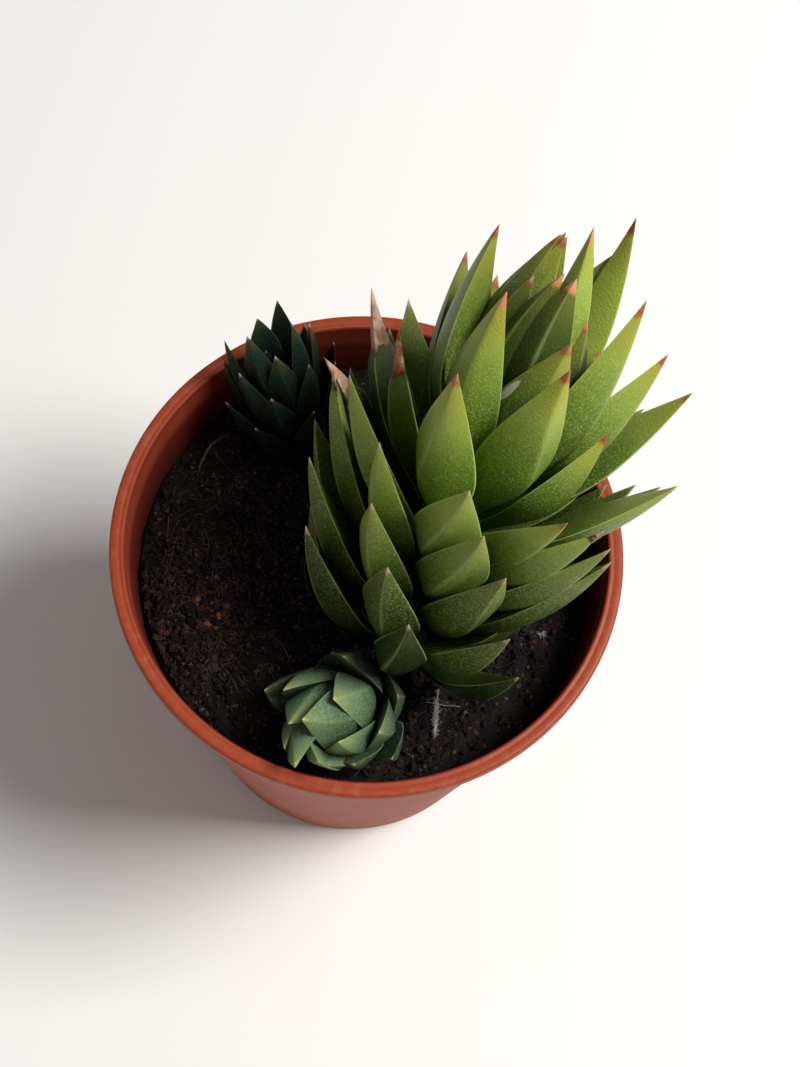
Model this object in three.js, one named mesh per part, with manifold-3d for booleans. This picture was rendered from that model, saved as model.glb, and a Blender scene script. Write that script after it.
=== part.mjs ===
// A potted haworthia: a plastic nursery pot, its compost, one tall leafy stem and two offsets.
// Millimetres, +Z up. The origin is the middle of the pot's underside, which stands on z = 0.
// The viewer of the tall stem's front stands on the -Y side.
import * as THREE from "three";
import { mergeVertices } from "three/addons/utils/BufferGeometryUtils.js";
import Module from "manifold-3d";

const wasm = await Module();
wasm.setup();

// Pot
const POT_HEIGHT = 100;
const RIM_RADIUS = 52.5;
const FOOT_RADIUS = 36.7;
const WALL = 1.3;
const FLOOR = 1.6;
const LIP_WIDTH = 3.2;
const LIP_HEIGHT = 3.0;
const LIP_GROOVE_DEPTH = 0.2;
const FOOT_RING_WIDTH = 4.0;
const FOOT_RECESS = 1.2;
const CENTRE_PAD_RADIUS = 9;
const DRAIN_COUNT = 6;
const DRAIN_RADIUS = 3.5;
const DRAIN_CIRCLE = 21;
const DRAIN_SIDES = 12;
const DRILL_LENGTH = 6.4;
const LIP_ROUND = 0.6;
const GROOVE_HALF_WIDTH = 0.5;
const GROOVE_SHARE = 0.62;
const FLOOR_FILLET = 2;
const POT_SEGMENTS = 48;

// Compost
const GAP = 0.3;
const SOIL_LEVEL = 86.5;
const SOIL_RINGS = 9;
const SOIL_SEGMENTS = 48;
const MOUND = { x: -26, y: -5, along: 15, across: 24, rise: 3.5 };
const EDGE_DIP = 2.0;
const EDGE_POWER = 10;
const NEST_POWER = 4;
const LUMP = 0.7;
const LUMP_WAVES = { x: 0.31, xStart: 1.3, y: 0.27, yStart: 0.4 };
const CROSS_WAVES = { x: 0.53, y: -0.35, start: 2.1, share: 0.6 };

// Leafy stems. The path is a quadratic curve through foot, bend and crown. Leaves sit on it in a
// spiral: each turns by a fixed angle from the last and sits one gap further up. Lists of
// [places, values] give a size along the stem. whirl is the sway to the side that all leaves
// share, as a share of the length. own holds the leaves that grew differently: share of the
// length, extra degrees of spread, and extra sway. twist is in degrees, slim is a share of the
// width, and keel is the ridge's place across the leaf at its root.
const PEG_DEPTH = 12;
const PEG_RADIUS = 3.5;
const PEG_SIDES = 8;
const CORE_SHARES = [0.08, 0.5, 0.95];
const WELL_CLEARANCE = 0.4;
const WELL_SIDES = 16;

const MAIN = {
  name: "plant_main",
  foot: [10.7, -14.5, 85],
  bend: [13.8, -0.7, 114],
  crown: [24.1, 20.7, 136.1],
  stemLength: 64,
  leaves: 67,
  turn: -136.9,
  firstTurn: 39.8,
  gap: [[0, 60], [1.12, 0.81]],
  coreRadius: [4.5, 6.5, 3.0],
  baseRadius: [[0, 64], [10.8, 9.0]],
  length: [[0, 50, 64], [39.5, 38.7, 32]],
  spread: [[0, 20, 38, 46, 54, 64], [32, 35, 42, 21, 8, 0]],
  width: [[0, 64], [12.8, 14.2]],
  thickness: 5.6,
  bow: 0.09,
  lowestBase: 87.5,
  nestRadius: 18,
  nestDepth: 6,
  own: {
    0: [0.85, 9, -0.1], 1: [0.8, -3, 0], 5: [0.7, -5, 0], 8: [0.9, 6, -0.05], 22: [1.1, -5, -0.05],
    27: [0.95, -5, 0.05], 32: [1, 0, 0.05], 33: [1, 5, 0.1], 37: [0.9, 5, -0.05], 39: [1.1, 0, 0],
    40: [1.1, -5, -0.05], 42: [0.75, -10, -0.05], 43: [0.85, 4, 0.05], 44: [0.9, 0, 0],
    45: [1.05, -4, -0.05], 48: [1.1, -3, 0], 50: [1.2, -9, 0], 51: [1.15, -3, 0],
    52: [0.9, -4, 0.05], 53: [0.9, 3, 0.05], 54: [1.1, -6, -0.1], 55: [0.8, -4, 0],
    56: [1.05, -8, 0.1], 58: [0.85, -6, -0.1], 59: [1.1, -8, 0], 60: [1.3, -7, 0.1],
    63: [0.6, -5, 0], 64: [0.8, 0, 0], 66: [1.2, -5, -0.2],
  },
  twist: { 47: 45, 51: 25, 54: 60, 60: -20, 66: 35 },
  slim: { 0: 0.6, 3: 0.85, 47: 1.15, 51: 1.3, 60: 0.7, 66: 0.65 },
  keel: { 3: -0.9, 24: -0.8, 32: -0.8, 40: -0.9, 45: 1.2, 53: 0.8 },
  whirl: 0,
  colour: 0x6f8a45,
};

const BACK = {
  name: "plant_back",
  foot: [-20, 28, 85],
  bend: [-21.5, 30, 91],
  crown: [-24.5, 33, 100],
  stemLength: 16,
  leaves: 23,
  turn: 137.5,
  firstTurn: 216,
  gap: [[0, 23], [0.74, 0.62]],
  coreRadius: [3.5, 3.5, 2.0],
  baseRadius: [[0, 16], [6, 4]],
  length: [[0, 16], [17, 21]],
  spread: [[0, 6, 16], [34, 22, 5]],
  width: [[0, 16], [8, 7.5]],
  thickness: 2.8,
  bow: 0.08,
  lowestBase: 88.5,
  nestRadius: 11,
  nestDepth: 5,
  own: { 0: [0.8, 0, 0] },
  twist: {},
  slim: {},
  keel: {},
  whirl: 0,
  colour: 0x2c3f34,
};

const FRONT = {
  name: "plant_front",
  foot: [2.5, -30, 84.5],
  bend: [1.5, -32, 90],
  crown: [-1, -37, 97],
  stemLength: 15,
  leaves: 18,
  turn: 137.5,
  firstTurn: 45,
  gap: [[0, 17], [0.95, 0.75]],
  coreRadius: [3.5, 3.5, 2.0],
  baseRadius: [[0, 15], [5, 1.5]],
  length: [[0, 15], [18, 18]],
  spread: [[0, 8, 15], [48, 20, -16]],
  width: [[0, 15], [12, 13.5]],
  thickness: 4.4,
  bow: 0.2,
  lowestBase: 88,
  nestRadius: 13,
  nestDepth: 7,
  own: { 1: [0.6, 0, 0], 3: [0.7, 0, 0] },
  twist: {},
  slim: {},
  keel: {},
  whirl: 0.25,
  colour: 0x58806a,
};

// Leaf form
const ROOT_DEPTH = 7;
const LOWEST_ROOT_DEPTH = 1.5;
const ROOT_GROWTH = 0.6;
const ROOT_RADIUS = 3;
const RIM_ROOM = 1.5;
const WALL_ROOM = 4.2;
const WALL_TESTS = [0.3, 0.45, 0.6, 0.8, 1];
const LEAN_STEP = 4;
const LEAN_LIMIT = 40;
const SHOULDER = 0.3;
const SWAY_POWER = 1.5;
const WIDEST = 0.53;
const FOOT_WIDTH = 0.25;
const SWELL = 2.5;
const TAPER = 1.75;
const POINTED = 0.15;
const THICKNESS_POWER = 0.8;
const THINNING = 0.35;
const KEEL = 0.4;
const KEEL_LIMIT = 0.75;
const KEEL_SHARE = 0.6;
const KEEL_FULL = 0.7;
const CUP = 0.1;
const INNER_BULGE = 0.22;
const TWIST_END = 0.5;
const LEAF_RINGS = [0, 0.33, 0.6, 0.85];

const rad = THREE.MathUtils.degToRad;
const clamp = THREE.MathUtils.clamp;

// Reads a value between listed places, straight from one to the next
function between(x, [places, values]) {
  let k = 0;
  while (k < places.length - 2 && x > places[k + 1]) k += 1;
  const share = clamp((x - places[k]) / (places[k + 1] - places[k]), 0, 1);
  return values[k] + (values[k + 1] - values[k]) * share;
}

function solidFrom(geometry) {
  const plain = geometry.clone();
  plain.deleteAttribute("normal");
  plain.deleteAttribute("uv");
  const merged = mergeVertices(plain, 1e-4);
  const index = merged.index.array;
  const kept = [];
  for (let i = 0; i < index.length; i += 3) {
    const [a, b, c] = [index[i], index[i + 1], index[i + 2]];
    if (a !== b && b !== c && c !== a) kept.push(a, b, c);
  }
  const vertProperties = new Float32Array(merged.attributes.position.array);
  const triVerts = new Uint32Array(kept);
  return new wasm.Manifold(new wasm.Mesh({ numProp: 3, vertProperties, triVerts }));
}

function geometryFrom(solid) {
  const mesh = solid.getMesh();
  const geometry = new THREE.BufferGeometry();
  geometry.setAttribute("position", new THREE.BufferAttribute(mesh.vertProperties, 3));
  geometry.setIndex(new THREE.BufferAttribute(mesh.triVerts, 1));
  geometry.computeVertexNormals();
  return geometry;
}

// A closed body through rings of points, each ring turning the same way, with a fan at both ends
function skin(rings, lowEnd, highEnd) {
  const count = rings[0].length;
  const points = [...rings.flat(), lowEnd, highEnd];
  const low = points.length - 2;
  const high = points.length - 1;
  const last = (rings.length - 1) * count;
  const index = [];
  for (let j = 0; j < count; j += 1) {
    const next = (j + 1) % count;
    index.push(low, next, j, high, last + j, last + next);
    for (let i = 0; i < rings.length - 1; i += 1) {
      const a = i * count + j;
      const b = i * count + next;
      index.push(a, b, b + count, a, b + count, a + count);
    }
  }
  const geometry = new THREE.BufferGeometry().setFromPoints(points);
  geometry.setIndex(index);
  return geometry;
}

// Lathe profiles are [radius, height] pairs, turned about +Z
function turned(profile, segments) {
  const points = profile.map(([r, z]) => new THREE.Vector2(r, z));
  return new THREE.LatheGeometry(points, segments).rotateX(Math.PI / 2);
}

const wallRadius = (z) => {
  const top = RIM_RADIUS - LIP_WIDTH + WALL;
  return FOOT_RADIUS + ((top - FOOT_RADIUS) * z) / (POT_HEIGHT - LIP_HEIGHT);
};
const innerRadius = (z) => wallRadius(z) - WALL;

function potSolid() {
  const underLip = POT_HEIGHT - LIP_HEIGHT;
  const floorTop = FOOT_RECESS + FLOOR;
  const grooveRadius = RIM_RADIUS - LIP_WIDTH * GROOVE_SHARE;
  const innerEdge = RIM_RADIUS - LIP_WIDTH;
  const footInside = FOOT_RADIUS - FOOT_RING_WIDTH;
  const profile = [
    [0, 0],
    [CENTRE_PAD_RADIUS, 0],
    [CENTRE_PAD_RADIUS + FOOT_RECESS, FOOT_RECESS],
    [footInside - FOOT_RECESS, FOOT_RECESS],
    [footInside, 0],
    [FOOT_RADIUS - LIP_ROUND, 0],
    [wallRadius(LIP_ROUND), LIP_ROUND],
    [wallRadius(underLip), underLip],
    [RIM_RADIUS - LIP_ROUND, underLip],
    [RIM_RADIUS, underLip + LIP_ROUND],
    [RIM_RADIUS, POT_HEIGHT - LIP_ROUND],
    [RIM_RADIUS - LIP_ROUND, POT_HEIGHT],
    [grooveRadius + GROOVE_HALF_WIDTH, POT_HEIGHT],
    [grooveRadius, POT_HEIGHT - LIP_GROOVE_DEPTH],
    [grooveRadius - GROOVE_HALF_WIDTH, POT_HEIGHT],
    [innerEdge + LIP_ROUND, POT_HEIGHT],
    [innerEdge, POT_HEIGHT - LIP_ROUND],
    [innerRadius(underLip), underLip],
    [innerRadius(floorTop + FLOOR_FILLET), floorTop + FLOOR_FILLET],
    [innerRadius(floorTop) - FLOOR_FILLET, floorTop],
    [0, floorTop],
  ];
  let pot = solidFrom(turned(profile, POT_SEGMENTS));
  for (let k = 0; k < DRAIN_COUNT; k += 1) {
    const angle = (2 * Math.PI * k) / DRAIN_COUNT;
    const drill = new THREE.CylinderGeometry(DRAIN_RADIUS, DRAIN_RADIUS, DRILL_LENGTH, DRAIN_SIDES);
    drill.rotateX(Math.PI / 2);
    drill.translate(DRAIN_CIRCLE * Math.cos(angle), DRAIN_CIRCLE * Math.sin(angle), floorTop / 2);
    pot = pot.subtract(solidFrom(drill));
  }
  return pot;
}

// Height of the compost: level, mound on the left, a dip at the wall and round each stem, lumps
function soilHeight(x, y, plants) {
  const dx = (x - MOUND.x) / MOUND.along;
  const dy = (y - MOUND.y) / MOUND.across;
  const mound = MOUND.rise * Math.exp(-(dx * dx + dy * dy));
  const edge = Math.hypot(x, y) / innerRadius(SOIL_LEVEL);
  const dip = EDGE_DIP * Math.pow(edge, EDGE_POWER);
  let nest = 0;
  for (const plant of plants) {
    const d = Math.hypot(x - plant.foot[0], y - plant.foot[1]) / plant.nestRadius;
    nest = Math.max(nest, plant.nestDepth * Math.exp(-(d ** NEST_POWER)));
  }
  const w = LUMP_WAVES;
  const c = CROSS_WAVES;
  const lumps = Math.sin(w.x * x + w.xStart) * Math.sin(w.y * y + w.yStart)
    + c.share * Math.sin(c.x * x + c.y * y + c.start);
  return SOIL_LEVEL + mound - dip - nest + LUMP * lumps;
}

function soilSolid(plants) {
  const bottom = FOOT_RECESS + FLOOR + GAP;
  const corner = FLOOR_FILLET + GAP;
  const outer = (z) => innerRadius(z) - GAP;
  const profile = [
    [0, bottom],
    [outer(bottom) - corner, bottom],
    [outer(bottom + corner), bottom + corner],
    [outer(SOIL_LEVEL - EDGE_DIP) - GAP, SOIL_LEVEL],
  ];
  const topRadius = profile[3][0];
  for (let k = SOIL_RINGS - 1; k >= 0; k -= 1) profile.push([(topRadius * k) / SOIL_RINGS, SOIL_LEVEL]);
  const geometry = turned(profile, SOIL_SEGMENTS);
  const position = geometry.attributes.position;
  for (let i = 0; i < position.count; i += 1) {
    if (position.getZ(i) > SOIL_LEVEL - 1) {
      position.setZ(i, soilHeight(position.getX(i), position.getY(i), plants));
    }
  }
  let soil = solidFrom(geometry);
  for (const plant of plants) {
    const [x, y, z] = plant.foot;
    const depth = PEG_DEPTH + GAP;
    const radius = PEG_RADIUS + WELL_CLEARANCE;
    const well = new THREE.CylinderGeometry(radius, radius, 2 * depth, WELL_SIDES);
    well.rotateX(Math.PI / 2);
    well.translate(x, y, z);
    soil = soil.subtract(solidFrom(well));
  }
  return soil;
}

// Place, direction and two cross directions of a stem at a share of its length
function stemFrame(plant, share) {
  const path = new THREE.QuadraticBezierCurve3(
    new THREE.Vector3(...plant.foot),
    new THREE.Vector3(...plant.bend),
    new THREE.Vector3(...plant.crown),
  );
  const at = path.getPoint(share);
  const along = path.getTangent(share);
  const front = new THREE.Vector3(0, -1, 0);
  front.addScaledVector(along, -front.dot(along)).normalize();
  const side = new THREE.Vector3().crossVectors(along, front);
  return { at, along, front, side };
}

// Share of the full width at u, 0 at the root and 1 at the tip
function widthShare(u) {
  if (u < WIDEST) {
    return FOOT_WIDTH + (1 - FOOT_WIDTH) * Math.pow(Math.sin((u / WIDEST) * (Math.PI / 2)), SWELL);
  }
  const b = (u - WIDEST) / (1 - WIDEST);
  return (1 - Math.pow(b, TAPER)) * (1 - POINTED * b * b);
}

// The frame with the leaf's own directions: out from the stem and across the leaf
function leafFrame(plant, s, angle) {
  const frame = stemFrame(plant, s / plant.stemLength);
  const out = frame.front.clone().multiplyScalar(Math.cos(angle));
  out.addScaledVector(frame.side, Math.sin(angle));
  const across = frame.front.clone().multiplyScalar(-Math.sin(angle));
  across.addScaledVector(frame.side, Math.cos(angle));
  return { ...frame, out, across };
}

// The middle line of a leaf in the plane of the stem (x) and straight out from it (y)
function leafLine(plant, s, base, length, spread) {
  const rootDepth = Math.min(ROOT_DEPTH, LOWEST_ROOT_DEPTH + s * ROOT_GROWTH);
  const shoulder = SHOULDER * length;
  const bow = plant.bow * length;
  return new THREE.QuadraticBezierCurve(
    new THREE.Vector2(-rootDepth, ROOT_RADIUS),
    new THREE.Vector2(
      shoulder * Math.cos(spread) - bow * Math.sin(spread),
      base + shoulder * Math.sin(spread) + bow * Math.cos(spread),
    ),
    new THREE.Vector2(length * Math.cos(spread), base + length * Math.sin(spread)),
  );
}

const hitsWall = ({ x, y, z }) => (
  z < POT_HEIGHT + RIM_ROOM && Math.hypot(x, y) > innerRadius(Math.min(z, POT_HEIGHT)) - WALL_ROOM
);

// A leaf's section as [x, y] pairs: x across from -1 to 1, y the height over the line between
// the edges in shares of the thickness. The outer face has its ridge at keel.
function leafSection(keel, sharp) {
  const top = THREE.MathUtils.radToDeg(Math.acos(keel));
  const angles = [0, 270, 180, (180 + top) / 2, top, top / 2];
  return angles.map((degrees) => {
    const x = Math.cos(rad(degrees));
    const ridge = 1 - Math.abs(x - keel) / (x > keel ? 1 - keel : 1 + keel);
    const outer = (1 - sharp) * (1 - x * x) + sharp * Math.max(ridge, 0);
    return [x, degrees <= 180 ? outer : -INNER_BULGE * (1 - x * x)];
  });
}

// One leaf: a keeled section carried along a quadratic curve out of the stem. A leaf whose base
// would lie in the compost sits further up the stem, and one that would touch the pot stands
// closer to the stem.
function leafSolid(plant, n, firstPlace) {
  const angle = rad(plant.firstTurn + plant.turn * n);
  const [lengthShare, moreSpread, moreSway] = plant.own[n] ?? [1, 0, 0];
  const sway = moreSway + plant.whirl;
  const twistDegrees = plant.twist[n] ?? 0;
  const rootKeel = plant.keel[n] ?? KEEL;
  const base = between(firstPlace, plant.baseRadius);
  let s = firstPlace;
  let frame = leafFrame(plant, s, angle);
  const sunk = plant.lowestBase - (frame.at.z + frame.out.z * base);
  if (sunk > 0) {
    s += sunk / frame.along.z;
    frame = leafFrame(plant, s, angle);
  }
  const { out, across } = frame;
  const length = between(s, plant.length) * lengthShare;
  const halfWidth = (between(s, plant.width) / 2) * (plant.slim[n] ?? 1);
  let spread = between(s, plant.spread) + moreSpread;
  let line = leafLine(plant, s, base, length, rad(spread));
  const place = (u) => {
    const p = line.getPoint(u);
    return frame.at.clone().addScaledVector(frame.along, p.x).addScaledVector(out, p.y)
      .addScaledVector(across, sway * length * Math.pow(u, SWAY_POWER));
  };
  while (spread > -LEAN_LIMIT && WALL_TESTS.some((u) => hitsWall(place(u)))) {
    spread -= LEAN_STEP;
    line = leafLine(plant, s, base, length, rad(spread));
  }
  const rings = LEAF_RINGS.map((u) => {
    const centre = place(u);
    const t = line.getTangent(u);
    const normal = frame.along.clone().multiplyScalar(-t.y).addScaledVector(out, t.x);
    const twist = rad(twistDegrees) * Math.min(u / TWIST_END, 1);
    const flat = across.clone().multiplyScalar(Math.cos(twist)).addScaledVector(normal, Math.sin(twist));
    const up = normal.clone().multiplyScalar(Math.cos(twist)).addScaledVector(across, -Math.sin(twist));
    const half = halfWidth * widthShare(u);
    const thick = plant.thickness * Math.pow(widthShare(u), THICKNESS_POWER) * (1 - THINNING * u);
    const keel = clamp(rootKeel * (1 - u), -KEEL_LIMIT, KEEL_LIMIT);
    const section = leafSection(keel, KEEL_SHARE * Math.min(u / KEEL_FULL, 1));
    return section.map(([x, y]) => centre.clone().addScaledVector(flat, half * x)
      .addScaledVector(up, thick * y - half * CUP * x * x));
  });
  return solidFrom(skin(rings, place(0), place(1)));
}

// The stem itself: a peg in the compost and a core that the leaves grow from
function coreSolid(plant) {
  const [x, y, z] = plant.foot;
  const circle = (centre, a, b, radius) => {
    const ring = [];
    for (let k = 0; k < PEG_SIDES; k += 1) {
      const angle = (2 * Math.PI * k) / PEG_SIDES;
      ring.push(centre.clone().addScaledVector(a, radius * Math.cos(angle))
        .addScaledVector(b, radius * Math.sin(angle)));
    }
    return ring;
  };
  const first = stemFrame(plant, 0);
  const level = first.front.clone().setZ(0).normalize();
  const square = new THREE.Vector3(0, 0, 1).cross(level);
  const pegFoot = new THREE.Vector3(x, y, z - PEG_DEPTH);
  const pegTop = new THREE.Vector3(x, y, z - GAP);
  const rings = [circle(pegFoot, level, square, PEG_RADIUS), circle(pegTop, level, square, PEG_RADIUS)];
  for (const share of CORE_SHARES) {
    const f = stemFrame(plant, share);
    const radius = between(share, [CORE_SHARES, plant.coreRadius]);
    rings.push(circle(f.at, f.front, f.side, radius));
  }
  return solidFrom(skin(rings, pegFoot, stemFrame(plant, 1).at));
}

function plantSolid(plant) {
  let solid = coreSolid(plant);
  let s = 0;
  for (let n = 0; n < plant.leaves; n += 1) {
    if (n > 0) s += between(n, plant.gap);
    solid = solid.add(leafSolid(plant, n, s));
  }
  const pieces = solid.decompose();
  pieces.sort((a, b) => b.volume() - a.volume());
  return pieces[0];
}

const plants = [MAIN, BACK, FRONT];
const part = new THREE.Group();

function addPiece(name, solid, material) {
  const mesh = new THREE.Mesh(geometryFrom(solid), new THREE.MeshStandardMaterial(material));
  mesh.name = name;
  part.add(mesh);
}

addPiece("pot", potSolid(), { color: 0xa24a2c, roughness: 0.45, metalness: 0 });
addPiece("soil", soilSolid(plants), { color: 0x1c1512, roughness: 1, metalness: 0 });
for (const plant of plants) {
  addPiece(plant.name, plantSolid(plant), { color: plant.colour, roughness: 0.5, metalness: 0 });
}

export default part;
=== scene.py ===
"""A potted haworthia: a nursery pot, its compost, one tall leafy stem and two offsets."""
import math

import bpy
import numpy as np
from bpy.props import FloatProperty, FloatVectorProperty, IntProperty, PointerProperty
from mathutils import Matrix


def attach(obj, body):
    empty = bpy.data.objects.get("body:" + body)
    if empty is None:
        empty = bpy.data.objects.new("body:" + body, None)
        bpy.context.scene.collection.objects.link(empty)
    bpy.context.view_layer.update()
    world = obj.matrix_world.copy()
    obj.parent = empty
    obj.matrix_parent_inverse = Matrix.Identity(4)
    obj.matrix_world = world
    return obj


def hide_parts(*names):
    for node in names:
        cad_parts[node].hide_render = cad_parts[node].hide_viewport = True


bl_info = {
    "name": "Potted haworthia",
    "version": (1, 0, 0),
    "blender": (4, 5, 0),
    "location": "View3D > Sidebar > Haworthia",
    "description": "Builds a potted haworthia with its offsets and compost",
    "category": "Object",
}

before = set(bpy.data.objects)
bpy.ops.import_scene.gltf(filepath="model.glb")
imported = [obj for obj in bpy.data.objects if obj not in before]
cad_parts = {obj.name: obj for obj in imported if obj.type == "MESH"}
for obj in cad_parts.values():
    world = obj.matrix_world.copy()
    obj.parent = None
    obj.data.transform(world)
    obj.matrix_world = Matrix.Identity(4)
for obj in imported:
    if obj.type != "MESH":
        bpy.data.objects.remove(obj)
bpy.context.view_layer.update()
MM = 0.001

# Camera of the photograph
PHOTO_SIZE = (800, 1067)
FOCAL_PIXELS = 1900
CAMERA_PLACE = (0.006, -0.1389, 0.4615)
CAMERA_PITCH = 68.5
CAMERA_ROLL = 9.38
SENSOR = 36.0

# Pot, in millimetres. An edge is a corner's softening: how far each point lies inward and up.
POT_HEIGHT = 100
RIM_RADIUS = 52.5
FOOT_RADIUS = 36.7
WALL = 1.3
WALL_FROM = 0.8
WALL_STEPS = 24
FLOOR = 1.6
FLOOR_FILLET = 2
FLOOR_EDGE = ((0.7, 0.5), (FLOOR_FILLET, 0))
LIP_WIDTH = 3.2
LIP_HEIGHT = 3.0
LIP_STEPS = 5
LIP_OUTER_ROUND = 0.7
LIP_LOWER_ROUND = 0.5
LIP_INNER_ROUND = 0.6
UNDER_LIP = POT_HEIGHT - LIP_HEIGHT
UNDER_LIP_GAP = 0.1
UNDER_LIP_STEP = 0.3
GROOVE_DEPTH = 0.1
GROOVE_SHARE = 0.62
GROOVE_FORM = ((0.5, 0), (0.3, 0.5), (0.1, 0.95), (-0.1, 0.95), (-0.3, 0.5), (-0.5, 0))
FOOT_RING = 4.0
FOOT_RECESS = 1.2
FOOT_EDGE = ((0.6, 0), (0.15, 0.25))
RING_EDGE = (0.2, 0.15)
FLOOR_TOP = FOOT_RECESS + FLOOR
CENTRE_PAD = 9
PAD_EDGE = (0.4, 0.15)
DRAIN_COUNT = 6
DRAIN_RADIUS = 3.5
DRAIN_CIRCLE = 21
DRAIN_SIDES = 40
DRILL_LENGTH = 6 * FLOOR
SHARP_ANGLE = 32
LIP_MARGIN = 0.05
FLOOR_MARGIN = 0.3

# Compost, in millimetres. Waves are a strength and rates and shifts along x and y; noise is a
# strength, a size and a seed.
GAP = 0.3
SOIL_LEVEL = 86.5
MOUND = {"x": -26, "y": -5, "along": 15, "across": 24, "rise": 3.5}
EDGE_DIP = 2.0
EDGE_POWER = 10
NEST_EASE = 2.5
NEST_POWER = 4
LUMP = 0.7
WAVE_X = (0.31, 1.3)
WAVE_Y = (0.27, 0.4)
SLANT_WAVE = (0.6, 0.53, -0.35, 2.1)
NOISE = ((0.9, 3.1, 1), (0.55, 1.3, 2), (0.35, 0.6, 4))
NOISE_SHARE = 0.8
NOISE_CELLS = 256
NOISE_SHIFT = 97
SURFACE_SIDES = 260
SURFACE_RINGS = 120
SURFACE_TONE = 0.25
BOTTOM_INSET = 2.5

# Browner crumbs heaped on the front of the mound: their share of all crumbs, middle and spread
HEAP_SHARE = 0.35
HEAP_X = -31
HEAP_Y = -16
HEAP_WIDTH = 8.5

# Loose matter, in millimetres. Sizes and lengths are a least value, a span and a power that
# favours the small; strands and crumbs that pass a limit from the middle are dropped or drawn in.
CRUMB_REACH = 46.3
CRUMB_LIMIT = 46
CRUMB_SIZE = (0.28, 0.75, 3.2)
CRUMB_STRETCH = (0.55, 1.5)
CRUMB_DENTS = (0.7, 1.15)
CRUMB_LIFT = 0.35
CRUMB_TONE = (0.55, 0.45)
STRAND_END = 0.35
FIBRE_REACH = 44
FIBRE_LIMIT = 46
FIBRE_LENGTH = (2.5, 9, 2)
FIBRE_BEND = 1.6
FIBRE_LIFT = (0.25, 0.5)
FIBRE_RADIUS = (0.05, 0.14)
ARCH_X = (-38.4, 6.0, 1.9)
ARCH_Y = (14.3, 9.6)
ARCH_LIFT = (0.4, 2.2)
ARCH_RADIUS = 0.3
LITTER_SHIFT = (-3, -4)
LITTER_SPREAD = (0.55, 0.5)
LITTER_LIMIT = 45.5
LITTER_LENGTH = (0.5, 2.0, 2)
LITTER_BEND = 0.3
LITTER_LIFT = (0.1, 0.9)
LITTER_TILT = 0.5
LITTER_RADIUS = (0.06, 0.2)
FLUFF_THREADS = 150
FLUFF_AT = (19.3, -28.5)
FLUFF_WAY = (0.4, -4.6)
FLUFF_WIDTH = 0.22
FLUFF_TURN = 0.35
FLUFF_BEND = 1.2
FLUFF_LENGTH = (0.8, 2.8)
FLUFF_LIFT = (0.4, 0.5)
FLUFF_RADIUS = 0.045
THREAD_X = (15.9, 8.2)
THREAD_Y = (-26.4, 0.4)
THREAD_LIFT = 0.8
THREAD_RADIUS = 0.06
LUMP_THREADS = 30
LUMP_AT = (38.6, -8)
LUMP_WIDTH = 0.4
LUMP_LENGTH = 1.2
LUMP_LIFT = (0.4, 0.3)
LUMP_RADIUS = 0.05

# Leafy stems, in millimetres and degrees: the same rule and values as the solids. A value that
# changes has its places up the stem and its values there; gap goes by the leaf's number. own
# gives the leaves that grew differently: share of the length, extra spread, and sway to the side.
# twist turns a leaf, slim is a share of its width, and keel the place of its keel.
MAIN = {
    "name": "plant_main",
    "foot": (10.7, -14.5, 85),
    "bend": (13.8, -0.7, 114),
    "crown": (24.1, 20.7, 136.1),
    "stem_length": 64,
    "leaves": 67,
    "turn": -136.9,
    "first_turn": 39.8,
    "gap": ((0, 60), (1.12, 0.81)),
    "base_radius": ((0, 64), (10.8, 9.0)),
    "length": ((0, 50, 64), (39.5, 38.7, 32)),
    "spread": ((0, 20, 38, 46, 54, 64), (32, 35, 42, 21, 8, 0)),
    "width": ((0, 64), (12.8, 14.2)),
    "thickness": 5.6,
    "bow": 0.09,
    "lowest_base": 87.5,
    "nest": (18, 6),
    "core": (4.5, 6.5, 3.0),
    "own": {
        0: (0.85, 9, -0.1), 1: (0.8, -3, 0), 5: (0.7, -5, 0), 8: (0.9, 6, -0.05),
        22: (1.1, -5, -0.05), 27: (0.95, -5, 0.05), 32: (1, 0, 0.05), 33: (1, 5, 0.1),
        37: (0.9, 5, -0.05), 39: (1.1, 0, 0), 40: (1.1, -5, -0.05), 42: (0.75, -10, -0.05),
        43: (0.85, 4, 0.05), 44: (0.9, 0, 0), 45: (1.05, -4, -0.05), 48: (1.1, -3, 0),
        50: (1.2, -9, 0), 51: (1.15, -3, 0), 52: (0.9, -4, 0.05), 53: (0.9, 3, 0.05),
        54: (1.1, -6, -0.1), 55: (0.8, -4, 0), 56: (1.05, -8, 0.1), 58: (0.85, -6, -0.1),
        59: (1.1, -8, 0), 60: (1.3, -7, 0.1), 63: (0.6, -5, 0), 64: (0.8, 0, 0),
        66: (1.2, -5, -0.2),
    },
    "twist": {47: 45, 51: 25, 54: 60, 60: -20, 66: 35},
    "slim": {0: 0.6, 3: 0.85, 47: 1.15, 51: 1.3, 60: 0.7, 66: 0.65},
    "keel": {3: -0.9, 24: -0.8, 32: -0.8, 40: -0.9, 45: 1.2, 53: 0.8},
    "whirl": 0,
    "seed": 3,
}
BACK = {
    "name": "plant_back",
    "foot": (-20, 28, 85),
    "bend": (-21.5, 30, 91),
    "crown": (-24.5, 33, 100),
    "stem_length": 16,
    "leaves": 23,
    "turn": 137.5,
    "first_turn": 216,
    "gap": ((0, 23), (0.74, 0.62)),
    "base_radius": ((0, 16), (6, 4)),
    "length": ((0, 16), (17, 21)),
    "spread": ((0, 6, 16), (34, 22, 5)),
    "width": ((0, 16), (8, 7.5)),
    "thickness": 2.8,
    "bow": 0.08,
    "lowest_base": 88.5,
    "nest": (11, 5),
    "core": (3.5, 3.5, 2.0),
    "own": {0: (0.8, 0, 0)},
    "twist": {},
    "slim": {},
    "keel": {},
    "whirl": 0,
    "seed": 5,
}
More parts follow.
